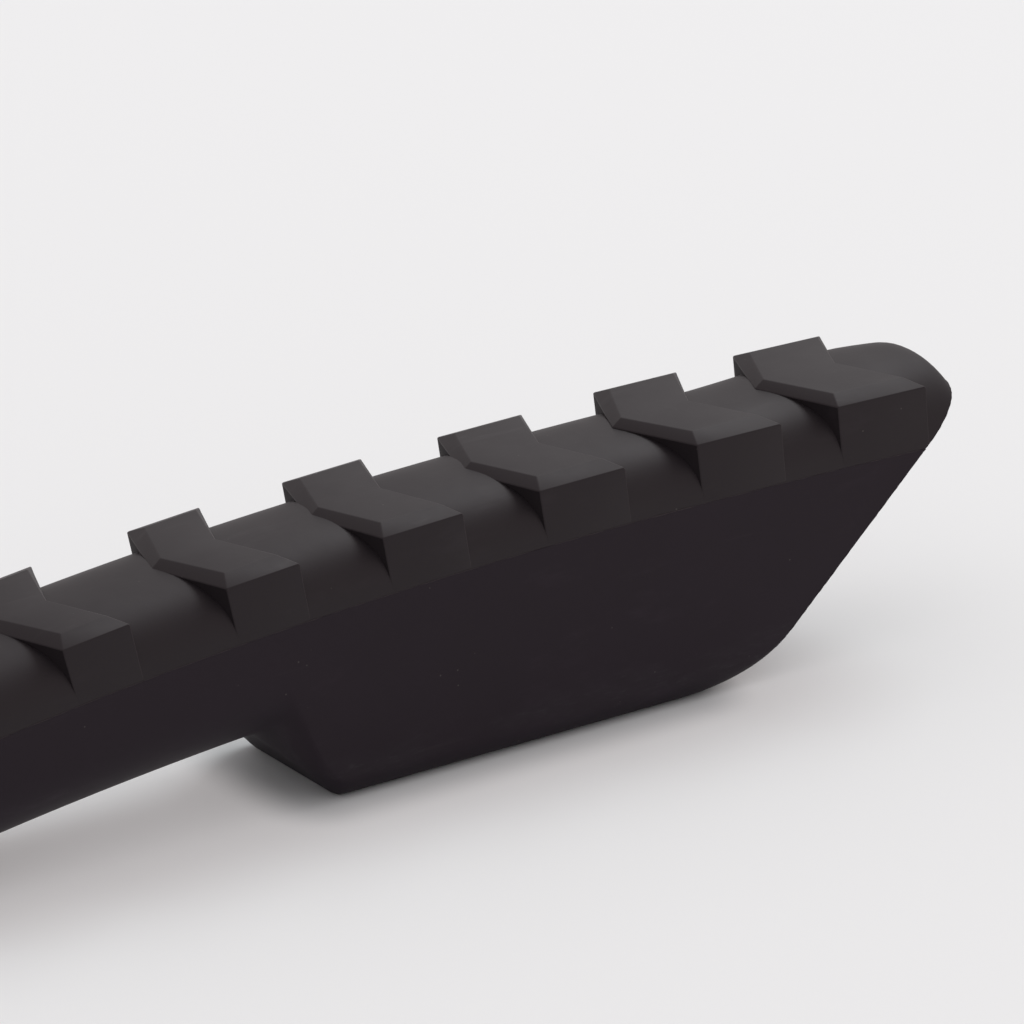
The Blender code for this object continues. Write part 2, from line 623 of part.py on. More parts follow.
bevel(lever, 0.5, 40.0)
boolean(lever, rod("cut", *LP, LEVER_PIN_R + PIN_FIT, -THROUGH, THROUGH))
lever_pin = rod("rest_lever_pin", *LP, LEVER_PIN_R, -7.2, 7.2)

# ---------------------------------------------------------------- materials
MATS = {
    "rubber_black": ((0.021, 0.019, 0.021), 0.62, 0.0),
    "rubber_tread": ((0.023, 0.021, 0.023), 0.60, 0.0),
    "nylon_core": ((0.05, 0.05, 0.05), 0.5, 0.0),
    "nylon_plug": ((0.025, 0.025, 0.027), 0.5, 0.0),
    "nylon_collar": ((0.03, 0.03, 0.032), 0.45, 0.0),
    "rubber_upper": ((0.02, 0.02, 0.021), 0.65, 0.0),
    "shaft_anodised": ((0.075, 0.08, 0.09), 0.38, 0.9),
    "head_steel": ((0.30, 0.30, 0.31), 0.42, 1.0),
    "pick_steel": ((0.42, 0.42, 0.43), 0.33, 1.0),
    "adze_steel": ((0.40, 0.40, 0.41), 0.35, 1.0),
    "bolt_steel": ((0.46, 0.46, 0.47), 0.28, 1.0),
    "insert_nylon": ((0.10, 0.10, 0.10), 0.5, 0.0),
    "rest_nylon": ((0.03, 0.03, 0.032), 0.48, 0.0),
    "hook_nylon": ((0.035, 0.035, 0.037), 0.5, 0.0),
    "pad_rubber": ((0.03, 0.03, 0.03), 0.7, 0.0),
    "lever_aluminium": ((0.55, 0.14, 0.04), 0.35, 0.7),
}
PIECES = [
    (shaft, "shaft_anodised"), (body, "rubber_black"), (tread, "rubber_tread"),
    (core, "nylon_core"), (plug, "nylon_plug"), (end_pin, "bolt_steel"),
    (collar, "nylon_collar"), (upper, "rubber_upper"), (head, "head_steel"),
    (pick, "pick_steel"), (adze, "adze_steel"), (adze_bolt, "bolt_steel"),
    (adze_nut, "bolt_steel"), (insert, "insert_nylon"), (rest, "rest_nylon"),
    (hook, "hook_nylon"), (pad, "pad_rubber"), (lever, "lever_aluminium"),
    (lever_pin, "bolt_steel"),
] + [(ob, "bolt_steel") for ob in pick_bolts + pick_nuts + rivets + rest_screws]
mats = {}
for key, (rgb, rough, metal) in MATS.items():
    m = bpy.data.materials.new(key)
    m.use_nodes = True
    p = m.node_tree.nodes["Principled BSDF"]
    p.inputs["Base Color"].default_value = (*rgb, 1.0)
    p.inputs["Roughness"].default_value = rough
    p.inputs["Metallic"].default_value = metal
    m.diffuse_color = (*rgb, 1.0)
    mats[key] = m


def origin_to(ob, co):
    """Move the object's origin without moving its mesh."""
    ob.data.transform(Matrix.Translation(-co))
    ob.location = co


for ob, key in PIECES:
    ob.data.materials.clear()
    ob.data.materials.append(mats[key])
    bm = bmesh.new()
    bm.from_mesh(ob.data)
    bmesh.ops.remove_doubles(bm, verts=bm.verts, dist=2e-6)
    bmesh.ops.dissolve_degenerate(bm, dist=1e-6, edges=bm.edges)
    bmesh.ops.recalc_face_normals(bm, faces=bm.faces)
    bm.to_mesh(ob.data)
    bm.free()
    ob.data.shade_smooth()
    ob.data.set_sharp_from_angle(angle=math.radians(30))
origin_to(lever, P(LP[0], 0, LP[1]))
for ob in [rest, hook, pad, lever_pin] + rest_screws:
    origin_to(ob, P(REST_S, 0, HN))
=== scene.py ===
"""Ice axe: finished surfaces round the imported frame, a pale stage and the light."""
import math

import bpy
import bmesh
from mathutils import Matrix, Vector, noise


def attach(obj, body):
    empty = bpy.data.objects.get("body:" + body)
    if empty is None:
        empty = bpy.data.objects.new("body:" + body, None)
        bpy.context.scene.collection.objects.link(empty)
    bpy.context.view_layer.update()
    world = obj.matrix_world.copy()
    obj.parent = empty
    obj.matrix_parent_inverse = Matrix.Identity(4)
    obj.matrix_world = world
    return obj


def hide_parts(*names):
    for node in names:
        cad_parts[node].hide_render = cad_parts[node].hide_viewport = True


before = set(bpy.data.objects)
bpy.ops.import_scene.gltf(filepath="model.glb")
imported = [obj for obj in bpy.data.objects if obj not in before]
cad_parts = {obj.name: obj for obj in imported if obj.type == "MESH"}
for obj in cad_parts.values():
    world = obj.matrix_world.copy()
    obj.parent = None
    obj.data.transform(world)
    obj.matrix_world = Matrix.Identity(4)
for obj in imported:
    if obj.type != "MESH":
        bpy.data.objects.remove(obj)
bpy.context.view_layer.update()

MM = 0.001
HALF = 13.0 * MM                 # half width of the grip, the unit of the sizes below
BODY = "axe"
# The sizes below are in half widths, and places along the handle run towards the butt.
FOOT_X, FOOT_Z = -1.98, -2.365   # the foot's centre from the parting line
BEND = (-0.0102, 0.0007)         # slope of the parting line: linear and square terms
BEND_END = -12.0                 # straight from here towards the head
GRIP_TOP = -13.0                 # end of the rubber
ARCH_H, ARCH_P = 0.70, 2.6       # height and fullness of the ridge's arch
ARCH_STEPS = 32                  # faces across the arch
NECK_SIDE, NECK_ROUND = 0.55, 0.91   # flat side and rounded underside of the neck
CORNER_STEPS = 14                # faces round each lower corner
HEEL_EDGE = 0.27                 # radius along the heel's foot
HEEL_FRONT, HEEL_SOFT = (-5.06, -4.385), (0.10, 0.035)   # from, to; softness of both ends
HEEL_REAR = 0.40                 # the floor meets the heel up to here
THINNEST = 0.12                  # the underside stays this far below the parting line
HEEL_CORNER = 0.5                # the sides turn crisp over this stretch
TOE_R = 2.0                      # radius between foot and butt
TOE_THIN = (0.6, 1.3, 0.85)      # the foot's edge thins from here, over this run, by this share
TOE_LEAD = 0.015                 # the toe's turn starts this much later
CUT_POINT = (1.865, -1.703)
CUT_ANGLE = math.radians(43.0)
TOE_ANGLE = CUT_ANGLE - math.radians(1.0)
FLANK_FRONT = (0.03, -0.06, 0.0)     # lean of a chevron's ends at its foot, edge and top
FLANK_REAR = (0.13, 0.05, -0.04)
BLOCK_FOOT = 0.02                    # a chevron starts this far above the parting line
BLOCK_SOFT = 0.16 * MM               # rounding of its edges
HIGHLIGHT_REACH = 0.09                    # the painted edge highlight starts this far before its rear edge
BLOCK_EDGE = (0.117, 0.204, 0.088)   # front run, side inset, drop
# apex, length, sweep back, height of the top
BLOCKS = [(1.960, 1.115, 0.48, 0.834), (0.015, 1.035, 0.50, 0.800), (-1.983, 1.020, 0.40, 0.760),
          (-3.969, 0.925, 0.35, 0.764), (-5.969, 0.813, 0.37, 0.784), (-7.991, 0.721, 0.36, 0.786),
          (-10.00, 0.640, 0.36, 0.786), (-11.98, 0.560, 0.36, 0.786)]
RIDGE_RISE = (0.145, 1.0, 3.8)   # rise, from, to
BUTT_ROUND, BUTT_RUN = 0.5, (3.2, 0.9)   # the arch gets rounder from here, over this run
DOME, DOME_POWER = (3.75, 4.34), 4.5     # the ridge turns down to the butt over this stretch
DOME_LAST = 0.97                         # share of that turn that is used
SEAM = 0.03 * MM                 # half the gap at the mould line
BEND_STEPS = 24


# ---------------------------------------------------------------- places along the handle
def heading(s):
    u = max(s, BEND_END)
    return BEND[0] * u + BEND[1] * u * u


def parting(s):
    u = max(s, BEND_END)
    turns = [heading(u * (i + 0.5) / BEND_STEPS) for i in range(BEND_STEPS)]
    x = sum(math.cos(h) for h in turns) * u / BEND_STEPS
    z = sum(math.sin(h) for h in turns) * u / BEND_STEPS
    if s < BEND_END:
        x += math.cos(heading(s)) * (s - BEND_END)
        z += math.sin(heading(s)) * (s - BEND_END)
    return x, z


def at(s, y, n):
    """Place s along the handle, y across and n off the parting line, in half widths."""
    x, z = parting(s)
    h = heading(s)
    return Vector((x - n * math.sin(h) - FOOT_X, y, z + n * math.cos(h) - FOOT_Z)) * HALF


HANDLE_SLOPE = heading(BEND_END)
cut_co = Vector((CUT_POINT[0] - FOOT_X, 0, CUT_POINT[1] - FOOT_Z)) * HALF
cut_no = Vector((math.sin(CUT_ANGLE), 0, -math.cos(CUT_ANGLE)))


def ease(t):
    t = min(max(t, 0.0), 1.0)
    return t * t * (3 - 2 * t)


def runs(start, *stops):
    out = [start]
    for end, count in stops:
        a = out[-1]
        out += [a + (end - a) * (i + 1) / count for i in range(count)]
    return out


# ---------------------------------------------------------------- shader arithmetic
class Value:
    """A shader socket that can stand in plain arithmetic."""

    def __init__(self, finish, socket):
        self.finish, self.socket = finish, socket

    def math(self, operation, other, swap=False):
        pair = (other, self) if swap else (self, other)
        return self.finish.node("ShaderNodeMath", {"operation": operation}, pair)

    def __add__(self, other):
        return self.math("ADD", other)

    def __sub__(self, other):
        return self.math("SUBTRACT", other)

    def __rsub__(self, other):
        return self.math("SUBTRACT", other, True)

    def __mul__(self, other):
        return self.math("MULTIPLY", other)

    def __lt__(self, other):
        return self.math("LESS_THAN", other)

    __radd__, __rmul__ = __add__, __mul__


class Finish:
    """A Principled material under construction."""

    def __init__(self, name, rough=0.5, metal=0.0, **fixed):
        self.material = bpy.data.materials.new(name)
        self.material.use_nodes = True
        self.tree = self.material.node_tree
        self.shader = self.tree.nodes["Principled BSDF"]
        self.shader.inputs["Metallic"].default_value = metal
        self.shader.inputs["Roughness"].default_value = rough
        for key, value in fixed.items():
            self.shader.inputs[key.replace("_", " ")].default_value = value
        self.place = self.node("ShaderNodeTexCoord", {}, (), "Object")

    def node(self, kind, settings, values=(), out=0):
        made = self.tree.nodes.new(kind)
        for key, value in settings.items():
            if key == "stops":
                ramp = made.color_ramp.elements
                while len(ramp) < len(value):
                    ramp.new(0.5)
                for element, (position, colour) in zip(ramp, value):
                    element.position, element.color = position, (*colour, 1.0)
            else:
                setattr(made, key, value)
        pairs = values.items() if isinstance(values, dict) else enumerate(values)
        for key, value in pairs:
            self.put(made.inputs[key], value)
        return Value(self, made.outputs[out])

    def put(self, socket, value):
        if isinstance(value, Value):
            self.tree.links.new(value.socket, socket)
        else:
            socket.default_value = value

    def grain(self, scale, detail=2.0, rough=0.5, stretch=None, turn=None):
        """Soft noise over the piece; scale is cells per metre, stretch per axis."""
        place = self.place
        if stretch or turn:
            place = self.node("ShaderNodeMapping", {}, {"Vector": place,
                              "Scale": stretch or (1, 1, 1), "Rotation": turn or (0, 0, 0)})
        return self.node("ShaderNodeTexNoise", {}, {"Vector": place, "Scale": scale,
                         "Detail": detail, "Roughness": rough}, "Fac")

    def cells(self, scale):
        return self.node("ShaderNodeTexVoronoi", {}, {"Vector": self.place, "Scale": scale},
                         "Distance")

    def ramp(self, value, low, high):
        """0 below low, 1 above high, smooth between."""
        return self.node("ShaderNodeMapRange", {"interpolation_type": "SMOOTHSTEP"},
                         {"Value": value, "From Min": low, "From Max": high})

    def mix(self, mask, a, b):
        made = self.tree.nodes.new("ShaderNodeMix")
        made.data_type = "RGBA"
        self.put(made.inputs["Factor"], mask)
        for key, value in ((6, a), (7, b)):
            self.put(made.inputs[key], value if isinstance(value, Value) else (*value, 1.0))
        return Value(self, made.outputs[2])

    def colour(self, value):
        self.put(self.shader.inputs["Base Color"],
                 value if isinstance(value, Value) else (*value, 1.0))

    def roughness(self, value):
        self.put(self.shader.inputs["Roughness"], value)

    def relief(self, height, depth):
        """Height in 0 to 1 standing depth metres proud."""
        bump = self.node("ShaderNodeBump", {}, {"Height": height, "Strength": 1.0,
                                                "Distance": depth}, "Normal")
        self.put(self.shader.inputs["Normal"], bump)


def rubber(name, base=(0.0103, 0.0072, 0.0112), paler=0.0, rough=0.56, shine=0.20, scuffed=()):
    """Moulded rubber: fine matt grain, cloudy handling marks, stray dust.

    scuffed gives the heights between which the surface is rubbed pale.
    """
    f = Finish(name, rough, Specular_IOR_Level=shine, Specular_Tint=(1.0, 0.87, 0.89, 1.0))
    cloud = f.ramp(f.grain(55.0, 4.0, 0.6), 0.36, 0.72)
    rub = f.ramp(f.grain(38.0, 5.0, 0.7, stretch=(1.0, 5.0, 3.0)), 0.56, 0.74)
    streak = f.ramp(f.grain(160.0, 3.0, 0.6, stretch=(0.25, 2.0, 5.0)), 0.66, 0.80)
    dust = (f.cells(420.0) < 0.055) * f.ramp(f.grain(130.0, 1.0), 0.56, 0.60)
    pale = tuple(c * 1.35 + 0.0008 for c in base)
    # paler lifts the tone towards a paler grey; on the pale edge rubber this makes the painted
    # highlight.
    tone = f.mix(cloud * 0.45 + paler, base, pale)
    tone = f.mix(rub * 0.30, tone, tuple(c * 1.9 + 0.002 for c in base))
    tone = f.mix(streak * 0.10, tone, (0.045, 0.040, 0.040))
    tone = f.mix(dust * 0.30, tone, (0.12, 0.11, 0.10))
    if scuffed:
        height = f.node("ShaderNodeSeparateXYZ", {}, (f.place,), "Z")
        low, high = scuffed
        wide = 0.35 * (high - low)
        band = f.ramp(height, low, low + wide) * (1.0 - f.ramp(height, high - wide, high))
        patch = f.ramp(f.grain(75.0, 5.0, 0.7, stretch=(0.5, 1.0, 2.0)), 0.40, 0.68)
        hairs = f.ramp(f.grain(900.0, 3.0, 0.7, stretch=(0.5, 1.0, 2.0), turn=(0, 0.5, 0)),
                       0.50, 0.75)
        tone = f.mix(band * patch * (0.25 + 0.6 * hairs), tone, (0.024, 0.0225, 0.026))
    f.colour(tone)
    f.roughness(rough + 0.05 * cloud - 0.05 * rub)
    fine = f.grain(3600.0, 2.0, 0.6)
    skin = f.grain(420.0, 3.0, 0.5)
    f.relief(fine * 0.35 + skin * 0.65, 0.022 * MM)
    return f.material


def nylon(name, base, rough=0.45):
    f = Finish(name, rough)
    cloud = f.ramp(f.grain(120.0, 4.0, 0.6), 0.35, 0.7)
    scuff = f.ramp(f.grain(240.0, 4.0, 0.7, stretch=(0.3, 2.0, 3.0)), 0.62, 0.78)
    tone = f.mix(cloud * 0.4, base, tuple(c * 1.5 for c in base))
    f.colour(f.mix(scuff * 0.3, tone, tuple(min(c * 2.5 + 0.02, 1.0) for c in base)))
    f.roughness(rough + 0.08 * cloud + 0.1 * scuff)
    f.relief(f.grain(2600.0, 2.0), 0.018 * MM)
    return f.material


def steel(name, base, rough=0.34, along=(1.0, 14.0, 1.0), turn=(0.0, 0.0, 0.0)):
    """Ground or forged steel with a directional polish and small dings."""
    f = Finish(name, rough, 1.0)
    lines = f.grain(900.0, 3.0, 0.7, stretch=along, turn=turn)
    cloud = f.ramp(f.grain(70.0, 4.0, 0.6), 0.35, 0.7)
    ding = f.ramp(f.cells(260.0), 0.02, 0.16)
    tone = f.mix(lines, tuple(c * 0.82 for c in base), tuple(min(c * 1.15, 1) for c in base))
    f.colour(f.mix(cloud * 0.35, tone, tuple(c * 0.72 for c in base)))
    f.roughness(rough - 0.05 + 0.12 * lines + 0.08 * cloud)
    f.relief(lines * 0.5 + ding * 0.5, 0.014 * MM)
    return f.material


def anodised(name, base, rough=0.36):
    """Anodised tube: satin, faint draw lines along it, a few scratches through."""
    f = Finish(name, rough, 0.85)
    draw = f.grain(700.0, 2.0, 0.6, stretch=(0.03, 1.6, 1.6), turn=(0.0, -HANDLE_SLOPE, 0.0))
    scratch = f.ramp(f.grain(300.0, 3.0, 0.75, stretch=(0.12, 2.0, 4.0),
                             turn=(0.0, -HANDLE_SLOPE, 0.3)), 0.70, 0.77)
    cloud = f.ramp(f.grain(45.0, 4.0, 0.6), 0.35, 0.7)
    tone = f.mix(cloud * 0.35, base, tuple(c * 1.35 for c in base))
    f.colour(f.mix(scratch * 0.5, tone, (0.40, 0.40, 0.41)))
    f.roughness(rough + 0.08 * draw + 0.07 * cloud)
    f.relief(draw, 0.008 * MM)
    return f.material


# ---------------------------------------------------------------- making pieces
def piece(name, bm, *materials, body=BODY, smooth=32.0):
    me = bpy.data.meshes.new(name)
    bm.to_mesh(me)
    bm.free()
    for material in materials:
        me.materials.append(material)
    if smooth:
        me.shade_smooth()
        me.set_sharp_from_angle(angle=math.radians(smooth))
    ob = bpy.data.objects.new(name, me)
    bpy.context.scene.collection.objects.link(ob)
    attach(ob, body)
    return ob


def sweep(bm, stations, section):
    """Extrudes one section along the handle and caps it; section(s) gives (y, n) pairs."""
    first = [bm.verts.new(at(stations[0], y, n)) for y, n in section(stations[0])]
    count = len(first)
    edges = [bm.edges.new((first[i], first[(i + 1) % count])) for i in range(count)]
    start = list(edges)
    for s in stations[1:]:
        made = bmesh.ops.extrude_edge_only(bm, edges=edges)["geom"]
        verts = [g for g in made if isinstance(g, bmesh.types.BMVert)]
        edges = [g for g in made if isinstance(g, bmesh.types.BMEdge)]
        points = [at(s, y, n) for y, n in section(s)]
        loop = order(verts, edges)
        shift = min(range(count), key=lambda k: (loop[k].co - first[0].co).length)
        loop = loop[shift:] + loop[:shift]
        if (loop[1].co - first[1].co).length > (loop[-1].co - first[1].co).length:
            loop = [loop[0]] + loop[:0:-1]
        for v, p in zip(loop, points):
            v.co = p
        first = loop
    bmesh.ops.contextual_create(bm, geom=start)
    bmesh.ops.contextual_create(bm, geom=edges)
    bmesh.ops.recalc_face_normals(bm, faces=bm.faces)


def order(verts, edges):
    """The verts of a closed loop of edges in turn."""
    near = {v: [] for v in verts}
    for e in edges:
        a, b = e.verts
        near[a].append(b)
        near[b].append(a)
    loop, last = [verts[0]], None
    while len(loop) < len(verts):
        step = [v for v in near[loop[-1]] if v is not last and v not in loop[-2:]][0]
        last = loop[-1]
        loop.append(step)
    return loop


def butt_rim(bm):
    """Rim of the cut face, leaving out its straight side on the parting line."""
    face = max((f for f in bm.faces if f.normal.dot(cut_no) > 0.999),
               key=lambda f: f.calc_area())
    rim = [v.co.copy() for v in face.verts]
    first = max(range(len(rim)), key=lambda i: (rim[i] - rim[i - 1]).length)
    return rim[first:] + rim[:first]


def slice_butt(bm):
    """Cuts the mesh along the slanted butt and closes it there."""
    geo = list(bm.verts) + list(bm.edges) + list(bm.faces)
    bmesh.ops.bisect_plane(bm, geom=geo, dist=1e-8, plane_co=cut_co,
                           plane_no=cut_no, clear_outer=True)
    bmesh.ops.holes_fill(bm, edges=[e for e in bm.edges if e.is_boundary], sides=0)
    bmesh.ops.recalc_face_normals(bm, faces=bm.faces)


def soften(bm, width, angle, segments, material, keep):
    """Rounds the edges sharper than angle that keep accepts."""
    edges = [e for e in bm.edges if len(e.link_faces) == 2
             and math.degrees(e.calc_face_angle(0.0)) > angle and keep(e)]
    bmesh.ops.bevel(bm, geom=edges, offset=width, segments=segments, affect="EDGES",
                    profile=0.5, material=material, clamp_overlap=True)


# ---------------------------------------------------------------- the rubber's lower half
def foot_height(x):
    """Height of the heel's underside: flat foot, rounded toe, then the slope of the butt."""
    turn = TOE_R * math.sin(TOE_ANGLE)
    meet = CUT_POINT[0] + (FOOT_Z - CUT_POINT[1]) / math.tan(CUT_ANGLE)
    start = meet - TOE_R * math.tan(TOE_ANGLE / 2) + TOE_LEAD
    if x <= start:
        return FOOT_Z
    if x <= start + turn:
        return FOOT_Z + TOE_R - math.sqrt(TOE_R ** 2 - (x - start) ** 2)
    return (FOOT_Z + TOE_R * (1 - math.cos(TOE_ANGLE))
            + (x - start - turn) * math.tan(TOE_ANGLE))


def underside(s):
    """Offset of the underside from the parting line, from the neck down the heel's front."""
    x, z = parting(s)
    h = heading(s)
    neck = -(NECK_SIDE + NECK_ROUND)
    n = neck
    for _ in range(4):
        n = (foot_height(x - n * math.sin(h)) - z) / math.cos(h)
    a, b = HEEL_FRONT
    t = (s - a) / (b - a)
    soft, crisp = HEEL_SOFT
    t = soft * math.log1p(math.exp(min(t / soft, 60.0)))
    t = max(1.0 - crisp * math.log1p(math.exp(min((1.0 - t) / crisp, 60.0))), 0.0)
    return min(neck + (n - neck) * t, -THINNEST)


def lower_section(s):
    bottom = underside(s)
    a = HEEL_FRONT[0]
    t = ease((s - a) / HEEL_CORNER)
    toe_start, toe_run, toe_share = TOE_THIN
    toe = 1.0 - toe_share * ease((s - toe_start) / toe_run)
    ry = 1.0 + (HEEL_EDGE * toe - 1.0) * t
    rz = min(NECK_ROUND + (HEEL_EDGE * toe - NECK_ROUND) * t, -bottom * 0.6)
    ry = min(ry, 1.0 - 0.02)
    top = SEAM / HALF
    side = [(1.0, -top), (1.0, -top - 0.03), (1.0, (bottom + rz) * 0.5)]
    for i in range(CORNER_STEPS + 1):
        q = math.pi / 2 * i / CORNER_STEPS
        side.append((1.0 - ry + ry * math.cos(q), bottom + rz - rz * math.sin(q)))
    return side + [(-y, n) for y, n in side[::-1]]


def ridge(s):
    rise, a, b = RIDGE_RISE
    t = min(max((s - DOME[0]) / (DOME[1] - DOME[0]), 0.0), DOME_LAST)
    return (ARCH_H + rise * ease((s - a) / (b - a))) * math.sqrt(1.0 - t ** DOME_POWER)


def upper_section(s):
    high = ridge(s)
    power = 2 / (ARCH_P - BUTT_ROUND * ease((s - BUTT_RUN[0]) / BUTT_RUN[1]))
    out = []
    for i in range(ARCH_STEPS + 1):
        t = math.pi * i / ARCH_STEPS
        c, q = math.cos(t), math.sin(t)
        y = math.copysign(abs(c) ** power, c)
        out.append((y, max(abs(q) ** power * high, SEAM / HALF)))
    return out


skin = rubber("grip_rubber", scuffed=(0.06 * HALF, 0.75 * HALF))
skin_top = rubber("tread_rubber", (0.0026, 0.0019, 0.0032), 0.05, 0.55, 0.375)
# Pale rubber for the chevrons' rear edges, the mould line and the flash: a painted highlight where
# light catches these edges.
skin_highlight = rubber("edge_highlight_rubber", (0.0240, 0.0195, 0.0215), 0.30, 0.50)
# Darker rubber for the chevrons' lower front faces: painted shade in the hollow in front of each
# chevron.
skin_shade = rubber("painted_shade_rubber", (0.0042, 0.0032, 0.0042), 0.0, 0.80)

bm = bmesh.new()
sweep(bm, runs(GRIP_TOP, (-5.8, 30), (-3.8, 36), (0.6, 20), (2.2, 28), (3.95, 14)),
      lower_section)
slice_butt(bm)
lower_rim = butt_rim(bm)
lower = piece("grip_lower_rubber", bm, skin)
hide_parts("grip_body")

bm = bmesh.new()
sweep(bm, runs(GRIP_TOP, (3.7, 84), (4.32, 24)), upper_section)
slice_butt(bm)
upper_rim = butt_rim(bm)
upper = piece("grip_ridge_rubber", bm, skin_top)
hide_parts("grip_tread")


# ---------------------------------------------------------------- raised chevrons
def chevron(name, start, length, sweep_back, top):
    run, inset, drop = BLOCK_EDGE
    low, edge = BLOCK_FOOT, top - drop
    bm = bmesh.new()

    def corner(s, y, n, lean):
        return bm.verts.new(at(s + (sweep_back + lean) * abs(y), y, n))

    rows = []
    back = start + length
    for n, front, half, f, r in zip((low, edge, top), (start, start, start + run),
                                    (1.0, 1.0, 1.0 - inset), FLANK_FRONT, FLANK_REAR):
        rows.append([corner(front, 0, n, f), corner(front, half, n, f), corner(back, half, n, r),
                     corner(back, 0, n, r), corner(back, -half, n, r), corner(front, -half, n, f)])
    for lower_row, upper_row in zip(rows[:-1], rows[1:]):
        for i in range(6):
            j = (i + 1) % 6
            face = bm.faces.new((lower_row[i], lower_row[j], upper_row[j], upper_row[i]))
            # The lower front faces take the darker rubber: painted shade.
            face.material_index = 2 if lower_row is rows[0] and i in (0, 5) else 0
    a = rows[-1]
    bm.faces.new((a[0], a[1], a[2], a[3]))
    bm.faces.new((a[0], a[3], a[4], a[5]))
    b = rows[0]
    bm.faces.new((b[3], b[2], b[1], b[0]))
    bm.faces.new((b[5], b[4], b[3], b[0]))
    bmesh.ops.recalc_face_normals(bm, faces=bm.faces)
    feet = set(rows[0])
    # The rounded edges take the pale rubber, kept only near the rear edge below: a painted
    # highlight along it.
    soften(bm, BLOCK_SOFT, 12.0, 3, 1, lambda e: not feet.issuperset(e.verts))
    for face in bm.faces:
        middle = face.calc_center_median()
        across = abs(middle.y) / HALF
        rear = at(start + length + sweep_back * across, 0.0, top * 0.8)
        if face.material_index == 1 and middle.x < rear.x - HIGHLIGHT_REACH * HALF:
            face.material_index = 0
    slice_butt(bm)
    ob = piece(name, bm, skin_top, skin_highlight, skin_shade, smooth=25.0)
    return ob


for index, block in enumerate(BLOCKS):
    chevron("chevron_%d" % (index + 1), *block)


# ---------------------------------------------------------------- mould line and butt flash
def ribbon(name, points, radius, material, ragged=0.0, body=BODY):
    """A hair-thin rib through points; ragged is the frequency of its thick and thin places."""
    curve = bpy.data.curves.new(name, "CURVE")
    curve.dimensions = "3D"
    curve.bevel_depth = radius
    curve.bevel_resolution = 1
    curve.use_fill_caps = True
    line = curve.splines.new("POLY")
    line.points.add(len(points) - 1)
    for spot, p in zip(line.points, points):
        spot.co = (*p, 1.0)
        spot.radius = 0.15 + 1.6 * abs(noise.noise(p * ragged)) if ragged else 1.0
    curve.materials.append(material)
    ob = bpy.data.objects.new(name, curve)
    bpy.context.scene.collection.objects.link(ob)
    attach(ob, body)
    return ob


# The mould line and the flash are real ribs; their pale colour is a painted highlight along them.
for side in (-1, 1):
    line = []
    for s in runs(GRIP_TOP + 0.02, (3.55, 160)):
        wander = 0.004 * noise.noise(Vector((s * 2.1, side * 3.0, 0.0)))
        line.append(at(s, side * (1.0 + 0.5 * wander), wander))
    rib = ribbon("mould_line_%s" % ("near" if side < 0 else "far"), line, 0.065 * MM,
                 skin_highlight, 500.0)

for name, rim in (("butt_flash_upper", upper_rim), ("butt_flash_lower", lower_rim)):
    line = [a.lerp(b, k / 4) for a, b in zip(rim, rim[1:]) for k in range(4)]
    ribbon(name, line, 0.07 * MM, skin_highlight, 900.0)

for index, (start, length) in enumerate(((-2.62, 0.16), (-1.36, 0.22))):
    line = [at(s, -(1.0 - 0.45 * HEEL_EDGE), underside(s) + 0.36 * HEEL_EDGE)
            for s in runs(start, (start + length, 12))]
    fleck = ribbon("heel_flash_%d" % (index + 1), line, 0.09 * MM, skin_highlight, 1300.0)

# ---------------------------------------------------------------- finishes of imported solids
dark_nylon = nylon("dark_nylon", (0.022, 0.022, 0.024))
FINISHES = {
    "shaft_tube": (anodised("shaft_anodised_grey", (0.055, 0.060, 0.070)), 0.0),
    "heel_core": (dark_nylon, 0.0),
    "end_plug": (dark_nylon, 0.0),
    "grip_collar": (dark_nylon, 0.25),
    "upper_grip": (rubber("upper_rubber"), 0.0),
    "head_body": (steel("head_forged", (0.34, 0.34, 0.35), 0.42), 0.3),
    "pick": (steel("pick_ground", (0.50, 0.50, 0.51), 0.30), 0.25),
    "adze": (steel("adze_ground", (0.48, 0.48, 0.49), 0.32), 0.25),
    "head_insert": (dark_nylon, 0.0),
    "rest_collar": (nylon("rest_nylon_black", (0.026, 0.026, 0.028)), 0.25),
    "rest_hook": (nylon("hook_nylon_black", (0.028, 0.028, 0.030)), 0.0),
    "rest_pad": (rubber("pad_rubber_black"), 0.0),
    "rest_lever": (anodised("lever_orange", (0.55, 0.12, 0.03)), 0.2),
}
plated = steel("plated_screw", (0.56, 0.56, 0.57), 0.26, (3.0, 3.0, 3.0))
for name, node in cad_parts.items():
    if name in ("grip_body", "grip_tread"):
        continue
    material, edge = FINISHES.get(name, (plated, 0.15))
    node.data.materials.clear()
    node.data.materials.append(material)
    if edge:
        mod = node.modifiers.new("edge", "BEVEL")
        mod.width = edge * MM
        mod.segments = 2
        mod.limit_method = "ANGLE"
        mod.angle_limit = math.radians(35.0)
    node.data.shade_smooth()
    node.data.set_sharp_from_angle(angle=math.radians(30.0))

# ---------------------------------------------------------------- camera
LENS, SENSOR = 281.34, 36.0      # millimetres
LOOK = (0.52550219, 0.76523081, -0.37184575)
ROLL = math.radians(-0.527)
EYE = (-47.683, -67.481, 32.809)     # from the parting line, in half widths

camera_data = bpy.data.cameras.new("camera")
camera_data.lens = LENS
camera_data.sensor_width = SENSOR
camera_data.clip_start = 0.05
camera = bpy.data.objects.new("camera", camera_data)
bpy.context.scene.collection.objects.link(camera)
bpy.context.scene.camera = camera
look = Vector(LOOK).normalized()
right = look.cross(Vector((0, 0, 1))).normalized()
up = right.cross(look)
right, up = (right * math.cos(ROLL) + up * math.sin(ROLL),
             up * math.cos(ROLL) - right * math.sin(ROLL))
turn = Matrix((right, up, -look)).transposed().to_4x4()
eye = Vector((EYE[0] - FOOT_X, EYE[1], EYE[2] - FOOT_Z)) * HALF
camera.matrix_world = Matrix.Translation(eye) @ turn

